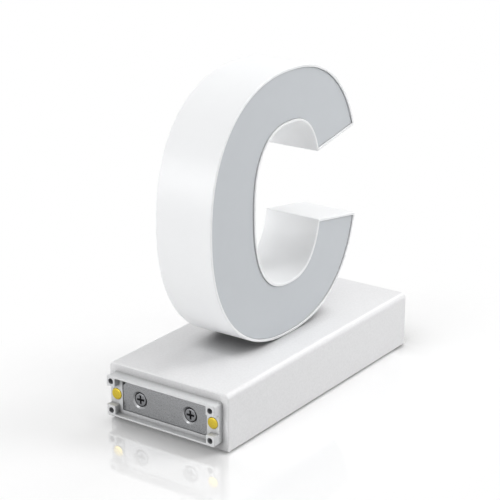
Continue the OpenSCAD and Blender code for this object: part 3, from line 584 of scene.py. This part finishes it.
def cross_screw(bm, place, profile, head_d, top, turn, width, depth, share=0.56):
    """A screw from its tip up to its head's edge, then a cross recess in the head's face."""
    a, b = width / 2, head_d * share / 2
    angles = cross_angles(a, b)
    rows = [[(0, 0, h)] if r < TINY else [(r * math.cos(t), r * math.sin(t), h) for t in angles] for r, h in profile]
    rows += [cross_row(angles, a + RECESS_RIM, b + RECESS_RIM, top),
             cross_row(angles, a, b, top - RECESS_RIM_DEPTH),
             cross_row(angles, a * LOW_HALF_W, b * LOW_REACH, top - depth * LOW_AT),
             [(PIT * a * math.cos(t), PIT * a * math.sin(t), top - depth * PIT_AT) for t in angles],
             [(0, 0, top - depth * TIP_AT)]]
    made = skin(bm, rows, place @ Matrix.Rotation(turn, 4, "Z"))
    # Painted shade as a dark colour: the recess's walls and pit, and the screw's tip
    for v in made[-2] + made[-3] + made[2]:
        for f in v.link_faces:
            f.material_index = 1


def flat_head(d, l, head_d, dome):
    """Profile of a countersunk screw from its tip to its crown."""
    h = (head_d - d) / 2
    return rounded([(0, -l), (d / 2, -l), (d / 2, -h), (head_d / 2, 0), (head_d * CROWN, dome)],
                   [0, 0.3, 0.2, 0.12, 0], 3)


def screws(name, cad_node, places, axis, size, turns, **recess):
    """Cross-head screws; size is the shank's diameter, the length, the head's diameter and its crown's height."""
    head_d, dome = size[2:]
    bm = bmesh.new()
    for place, turn in zip(places, turns):
        cross_screw(bm, at(*place, axis), flat_head(*size), head_d, dome, math.radians(turn), **recess)
    add_piece(name, bm, cad_node, "recess_painted_shade")


END_X, PLUG_Z = -59.75, 11.2
# The catch plate's face stands this far out of the base's end, and its screws' heads lie this deep in it
CATCH_FACE, SEAT_DEPTH = 1.8, 0.43
CAD_HEAD_D = 5.39
lo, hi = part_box("catch_plate_screws")
screw_y = (hi.y - lo.y) / MM / 2 - CAD_HEAD_D / 2
screws("plate_screws", "catch_plate_screws",
       [(END_X - CATCH_FACE + SEAT_DEPTH, s * screw_y, PLUG_Z) for s in (-1, 1)], "-X",
       (3, 8.2, 4.95, 0.03), (3, 4), width=0.72, share=0.66, depth=1.3)
BACK_RECESS = 0.2
screws("letter_back_screws", "back_screws", [(x, REAR - BACK_RECESS, z) for x, z in back_screw_places], "Y",
       (2, 8, 3.8, 0.0), (20, 70, 5, 48, 83), width=0.55, depth=0.9)
FOOT, COVER_SCREW_X, COVER_SCREW_Y = 0.5, 39.75, 21
screws("underside_screws", "base_plate_screws",
       [(sx * COVER_SCREW_X, sy * COVER_SCREW_Y, FOOT) for sx in (-1, 1) for sy in (-1, 1)], "-Z",
       (3, 9, 5.6, 0.0), (12, 64, 33, 81), width=0.8, depth=1.3)

# ---------------------------------------------------------------- contacts
CONTACT_Y, CONTACT_R, CONTACT_CROWN, HEAD_T, STEM_R, TRAVEL = 21.05, 2.1, 0.02, 2.2, 0.9, 0.8
for side, s in (("front", -1), ("rear", 1)):
    cad_node = side + "_contact"
    lo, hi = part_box(cad_node)
    length = (hi.x - lo.x) / MM
    bm = bmesh.new()
    lathe(bm, rounded([(0, 0), (CONTACT_R, CONTACT_CROWN), (CONTACT_R, HEAD_T), (STEM_R, HEAD_T), (STEM_R, length),
                       (0, length)], [0, 0.28, 0.1, 0.1, 0.2, 0], 5),
          at(lo.x / MM, s * CONTACT_Y, PLUG_Z, "X"), 72)
    add_piece(cad_node + "_button", bm, cad_node)
for side in ("front", "rear"):
    cad_node = side + "_contact_spring"
    lo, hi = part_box(cad_node)
    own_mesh(add_piece(side + "_coil_spring", cad_copy(cad_node), cad_node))
STUD_TIP_FROM = 57
for side in ("front", "rear"):
    rounded_copy(side + "_socket_stud", side + "_stud", lambda m, e: 0.25 if m.x > STUD_TIP_FROM else 0.1)

# ---------------------------------------------------------------- base
TOP, FOOT_R, TOP_R, END_R = 21.9, 0.5, 2, 0.6
HALF_L, HALF_W, WALL = 59.75, 26.0, 2.0
# The rebate for the base plate
REBATE_LIP, REBATE_TOP = 1, 2.1
# The square relief hole behind the catch plate: y from and to, z from and to
RELIEF_IN_BASE, RELIEF_IN_PLUG = (16.9, 18.5, 15.2, 16.8), (16.9, 18.45, 15.2, 16.75)
POCKET_HALF_W, POCKET_LOW, POCKET_HIGH = 23.85, 3.25, 19.15
SLEEVE_HOLE_R, SCREW_HOLE_R, BUSH_HOLE_R, ANCHOR_X = 2.85, 1.6, 2.15, 5.5
PILLAR_R, PILLAR_BORE_R, PILLAR_H = 3.5, 1.525, 17.9
# How far outside a wall a cutter starts, and how deep it goes to come out behind it
OUTSIDE, THROUGH = 1, 3
cuts = [box(-HALF_L + WALL, HALF_L - WALL, -HALF_W + WALL, HALF_W - WALL, -1, TOP - WALL),
        box(-HALF_L + REBATE_LIP, HALF_L - REBATE_LIP, -HALF_W + REBATE_LIP, HALF_W - REBATE_LIP, -1, REBATE_TOP),
        box(END_X - OUTSIDE, END_X + THROUGH, *RELIEF_IN_BASE),
        prism(oblong(POCKET_HALF_W, POCKET_LOW, POCKET_HIGH), [0.3] * 4, flared(HALF_L, HALF_L - THROUGH, 0.35))]
for s in (-1, 1):
    cuts += [rod(SLEEVE_HOLE_R, [(0, -OUTSIDE), (0, THROUGH)], at(END_X, s * CONTACT_Y, PLUG_Z, "X")),
             rod(SCREW_HOLE_R, [(0, -OUTSIDE), (0, THROUGH)], at(END_X, s * screw_y, PLUG_Z, "X")),
             rod(SCREW_HOLE_R, [(0, -THROUGH), (0, OUTSIDE)], at(LETTER_X + s * ANCHOR_X, 0, TOP))]
cuts.append(rod(BUSH_HOLE_R, [(0, -THROUGH), (0, OUTSIDE)], at(LETTER_X, 0, TOP)))
bm = carved(prism(oblong(HALF_W, FOOT, TOP), [FOOT_R, FOOT_R, TOP_R, TOP_R],
                  nosed(-HALF_L, HALF_L, END_R, END_R, 5), steps=8), cuts)
for sx in (-1, 1):
    for sy in (-1, 1):
        lathe(bm, rounded([(PILLAR_BORE_R, 0), (PILLAR_R, 0), (PILLAR_R, PILLAR_H), (PILLAR_BORE_R, PILLAR_H)],
                          [0.1, 0.2, 0, 0], closed=True),
              at(sx * COVER_SCREW_X, sy * COVER_SCREW_Y, REBATE_TOP), 32, closed=True)
add_piece("base_shell", bm, "base_housing")

# ---------------------------------------------------------------- plug
FRAME_X, CHEEK_X, FLOOR_X, SLEEVE_X = -64.45, -61.85, -60.35, -53.35
FRAME_HALF_W, FRAME_LOW, FRAME_HIGH, FRAME_R = 23.6, 3.5, 18.9, 0.9
# The recess is this wide between the bosses, goes from skirt to skirt there, and runs out between the bosses' heights
BOSS_Y, SKIRT_LOW, SKIRT_HIGH, CHEEK_LOW, CHEEK_HIGH, OUT_Y = 19.9, 4.3, 18.1, 7.6, 14.8, 30
WINDOW_HALF_W, WINDOW_LOW, WINDOW_HIGH = 18.5, 5.6, 16.8
SLEEVE_R, BUTTON_BORE_R, CATCH_HOLE_R = 2.8, 2.15, 2.0
GUIDE_Y, GUIDE_Z, GUIDE_R, GUIDE_DEPTH, GUIDE_RIM = 21.65, 5.55, 1.05, 3.6, 0.3
sleeves = [rod(SLEEVE_R, nosed(-0.5, SLEEVE_X - END_X, 0, 0.15), at(END_X, s * CONTACT_Y, PLUG_Z, "X"))
           for s in (-1, 1)]
recess = [(-OUT_Y, CHEEK_LOW), (-BOSS_Y, CHEEK_LOW), (-BOSS_Y, SKIRT_LOW),
          (BOSS_Y, SKIRT_LOW), (BOSS_Y, CHEEK_LOW), (OUT_Y, CHEEK_LOW),
          (OUT_Y, CHEEK_HIGH), (BOSS_Y, CHEEK_HIGH), (BOSS_Y, SKIRT_HIGH),
          (-BOSS_Y, SKIRT_HIGH), (-BOSS_Y, CHEEK_HIGH), (-OUT_Y, CHEEK_HIGH)]
cuts = [prism(recess, [0, 0.35, 0.3, 0.3, 0.35, 0] * 2, flared(FRAME_X, CHEEK_X, 0.22)),
        prism(oblong(WINDOW_HALF_W, WINDOW_LOW, WINDOW_HIGH), [0.3] * 4, flared(CHEEK_X, FLOOR_X, 0.12)),
        box(FLOOR_X - 0.5, END_X + OUTSIDE, *RELIEF_IN_PLUG)]
for s in (-1, 1):
    cuts += [rod(BUTTON_BORE_R, flared(CHEEK_X - END_X, SLEEVE_X - END_X + OUTSIDE, 0.1),
                 at(END_X, s * CONTACT_Y, PLUG_Z, "X"), 64),
             rod(CATCH_HOLE_R, [(0, -1.5), (0, OUTSIDE)], at(END_X, s * screw_y, PLUG_Z, "X"))]
    cuts += [rod(GUIDE_R, flared(FRAME_X - END_X, FRAME_X - END_X + GUIDE_DEPTH, 0.14),
                 at(END_X, s * GUIDE_Y, PLUG_Z + t * GUIDE_Z, "X"), 40) for t in (-1, 1)]
bm = carved(prism(oblong(FRAME_HALF_W, FRAME_LOW, FRAME_HIGH), [FRAME_R] * 4, nosed(FRAME_X, END_X, 0.4, 0)),
            cuts, sleeves)
# Painted shade: the guide holes' insides take the dark colour
paint_shade_on(bm, lambda c: FRAME_X + GUIDE_RIM < c.x < FRAME_X + GUIDE_DEPTH + 0.1 and
       math.hypot(abs(c.y) - GUIDE_Y, abs(c.z - PLUG_Z) - GUIDE_Z) < GUIDE_R + 0.03)
add_piece("plug_moulding", bm, "plug_frame", "hole_painted_shade")

PLATE_W, PLATE_H, PLATE_CUT, PLATE_T = 18.44, 5.45, 1.6, 1.2
# A screw seat's cutter as (radius, depth), and how far from its middle the plate's faces are painted dark as shade
SEAT = [(3.25, -1), (3.25, 0), (3.18, 0.05), (2.68, 0.52), (1.95, 1.2), (1.95, 2)]
SEAT_PAINTED_SHADE = 2.7
plate = [(-PLATE_W, PLUG_Z - PLATE_H), (PLATE_W, PLUG_Z - PLATE_H), (PLATE_W, PLUG_Z + PLATE_H - PLATE_CUT),
         (PLATE_W - PLATE_CUT, PLUG_Z + PLATE_H), (-PLATE_W, PLUG_Z + PLATE_H)]
bm = carved(prism(plate, [0.15] * 5, nosed(END_X - CATCH_FACE, END_X - CATCH_FACE + PLATE_T, 0.1, 0.05, 2)),
            [rod(0, SEAT, at(END_X - CATCH_FACE, s * screw_y, PLUG_Z, "X"), 64) for s in (-1, 1)])
# painted shade in the screw seats
paint_shade_on(bm, lambda c: math.hypot(abs(c.y) - screw_y, c.z - PLUG_Z) < SEAT_PAINTED_SHADE)
add_piece("catch_plate_cut", bm, "catch_plate", "recess_painted_shade")

# ---------------------------------------------------------------- back, underside and socket end
# Only edges that show are rounded
BACK_FROM_Y, COVER_TO_Z, SOCKET_FROM_X, SOCKET_LEAST_EDGE = 11.5, 0.55, 55, 1
rounded_copy("letter_back_panel", "letter_back", lambda m, e: 0.15 if m.y > BACK_FROM_Y else 0, 2)
rounded_copy("base_cover", "base_plate", lambda m, e: 0.15 if m.z < COVER_TO_Z else 0, 2)
rounded_copy("anti_slip_pad", "base_pad", lambda m, e: 0.12, 2)
rounded_copy("socket_moulding", "socket_frame",
             lambda m, e: 0.15 if m.x > SOCKET_FROM_X and e.calc_length() > SOCKET_LEAST_EDGE else 0, 2)
rounded_copy("socket_magnet_pair", "socket_magnets", lambda m, e: 0.2)

# ---------------------------------------------------------------- floor, backdrop and lights
FLOOR_SIZE = 6.0
# The floor's colour as it lights the object, and as the camera sees it
FLOOR_ALBEDO, FLOOR_SEEN = 0.75, 0.97
# Shade beyond the base's far end, where the lamps leave the floor too light: how strong, how near the base counts in
# metres, and the openness from which and to which it works; it comes in along X and goes out along Y, in metres
END_SHADE, END_SHADE_REACH, SHADED_FROM, SHADED_TO = 0.98, 0.04, 0.45, 0.95
FAR_FROM, FAR_TO, BESIDE_FROM, BESIDE_TO = 0.048, 0.064, 0.024, 0.044
# The base's half length and half width. With the distance from there the mirror image fades out and white comes in
BASE_HALF = (0.060, 0.026, 0)
MIRROR, MIRROR_REACH, MIRROR_ROUGH = 0.30, 0.056, 0.035
WHITE_FROM, WHITE_TO = -0.014, 0.080
bm = bmesh.new()
bmesh.ops.create_grid(bm, x_segments=1, y_segments=1, size=FLOOR_SIZE)
mesh = bpy.data.meshes.new("floor")
bm.to_mesh(mesh)
bm.free()
floor = bpy.data.objects.new("floor", mesh)
scene.collection.objects.link(floor)


def background_ray(tree):
    """1 for the rays that see the background as white: from the camera, and through or off the object."""
    rays = node(tree, "ShaderNodeLightPath").outputs
    seen = node(tree, "ShaderNodeMath", (0, rays["Is Camera Ray"]), (1, rays["Is Glossy Ray"]), operation="MAXIMUM")
    white = node(tree, "ShaderNodeMath", (0, seen.outputs[0]), (1, rays["Is Transmission Ray"]), operation="MAXIMUM")
    return white.outputs[0], rays["Is Camera Ray"]


def floor_surface(tree):
    """Matt in its seen colour and near the base a faint mirror, fading to white."""
    white_ray, camera_ray = background_ray(tree)
    place = node(tree, "ShaderNodeTexCoord").outputs["Object"]
    folded = node(tree, "ShaderNodeVectorMath", (0, place), operation="ABSOLUTE").outputs[0]
    x = node(tree, "ShaderNodeSeparateXYZ", (0, place)).outputs["X"]
    y = node(tree, "ShaderNodeSeparateXYZ", (0, folded)).outputs["Y"]
    near = node(tree, "ShaderNodeAmbientOcclusion", Distance=END_SHADE_REACH)
    shade = node(tree, "ShaderNodeMapRange", ("Value", near.outputs["AO"]), From_Min=SHADED_FROM, From_Max=SHADED_TO,
                 To_Min=-END_SHADE, To_Max=0.0)
    far_end = node(tree, "ShaderNodeMapRange", ("Value", x), From_Min=FAR_FROM, From_Max=FAR_TO)
    beside = node(tree, "ShaderNodeMapRange", ("Value", y), From_Min=BESIDE_FROM, From_Max=BESIDE_TO, To_Min=1.0,
                  To_Max=0.0)
    patch = node(tree, "ShaderNodeMath", (0, far_end.outputs[0]), (1, beside.outputs[0]), operation="MULTIPLY")
    kept = node(tree, "ShaderNodeMath", (0, shade.outputs[0]), (1, patch.outputs[0]), (2, 1.0),
                operation="MULTIPLY_ADD")
    seen = node(tree, "ShaderNodeMath", (0, kept.outputs[0]), (1, FLOOR_SEEN), operation="MULTIPLY")
    plain = node(tree, "ShaderNodeBsdfDiffuse", Color=(FLOOR_ALBEDO,) * 3 + (1,))
    bright = node(tree, "ShaderNodeBsdfDiffuse", ("Color", seen.outputs[0]))
    matt = node(tree, "ShaderNodeMixShader", (0, camera_ray), (1, plain.outputs[0]), (2, bright.outputs[0]))
    beyond = node(tree, "ShaderNodeVectorMath", (0, folded), (1, BASE_HALF), operation="SUBTRACT")
    outside = node(tree, "ShaderNodeVectorMath", (0, beyond.outputs[0]), operation="MAXIMUM")
    from_base = node(tree, "ShaderNodeVectorMath", (0, outside.outputs[0]), operation="LENGTH").outputs["Value"]
    mirrored = node(tree, "ShaderNodeMapRange", ("Value", from_base), From_Max=MIRROR_REACH, To_Min=MIRROR,
                    To_Max=0.0)
    sheen = node(tree, "ShaderNodeMath", (0, mirrored.outputs[0]), (1, camera_ray), operation="MULTIPLY")
    fade = node(tree, "ShaderNodeMapRange", ("Value", from_base), From_Min=WHITE_FROM, From_Max=WHITE_TO)
    share = node(tree, "ShaderNodeMath", (0, fade.outputs[0]), (1, white_ray), operation="MULTIPLY")
    gloss = node(tree, "ShaderNodeBsdfGlossy", Color=(1, 1, 1, 1), Roughness=MIRROR_ROUGH)
    white = node(tree, "ShaderNodeEmission", Color=(1, 1, 1, 1), Strength=1.0)
    paled = node(tree, "ShaderNodeMixShader", (0, share.outputs[0]), (1, matt.outputs[0]), (2, white.outputs[0]))
    done = node(tree, "ShaderNodeMixShader", (0, sheen.outputs[0]), (1, paled.outputs[0]), (2, gloss.outputs[0]))
    node(tree, "ShaderNodeOutputMaterial", ("Surface", done.outputs[0]))


paper = bpy.data.materials.new("floor")
paper.use_nodes = True
paper.node_tree.nodes.clear()
floor_surface(paper.node_tree)
mesh.materials.append(paper)

AMBIENT = 0.03
world = bpy.data.worlds.new("world")
scene.world = world
world.use_nodes = True
tree = world.node_tree
level = node(tree, "ShaderNodeMapRange", ("Value", background_ray(tree)[0]), To_Min=AMBIENT, To_Max=1.0)
tree.links.new(level.outputs["Result"], tree.nodes["Background"].inputs["Strength"])
tree.nodes["Background"].inputs["Color"].default_value = (1, 1, 1, 1)


def lamp(name, place, target, size, power):
    light = bpy.data.lights.new(name, "AREA")
    light.shape = "SQUARE"
    light.size = size
    light.energy = power
    ob = bpy.data.objects.new(name, light)
    ob.location = place
    ob.rotation_euler = (Vector(target) - Vector(place)).to_track_quat("-Z", "Y").to_euler()
    scene.collection.objects.link(ob)


# Azimuth and height above the horizon in degrees, and power in W, of each soft box round the object
SOFT_BOXES = {"top": (0, 88, 1.45), "front_high": (0, 60, 1.7), "right_high": (60, 60, 1.6),
              "back_right_high": (120, 60, 0.6), "back_high": (180, 60, 0.3), "left_back_high": (240, 60, 1.1),
              "left_high": (300, 60, 1.3), "left": (258, 36, 1.4), "right": (45, 35, 5.1), "far_right": (90, 35, 2.8),
              "back": (165, 35, 1.1), "right_low": (30, 12, 2.4), "left_back_low": (240, 12, 2.3),
              "left_low": (265, 12, 3.5)}
LAMP_SIZE, LAMP_DISTANCE = 0.4, 1.2
AIM = Vector((0, 0, 0.04))
for name, (azimuth, height, power) in SOFT_BOXES.items():
    azimuth, height = math.radians(azimuth), math.radians(height)
    way = Vector((math.sin(azimuth) * math.cos(height), -math.cos(azimuth) * math.cos(height), math.sin(height)))
    lamp(name, AIM + way * LAMP_DISTANCE, AIM, LAMP_SIZE, power)
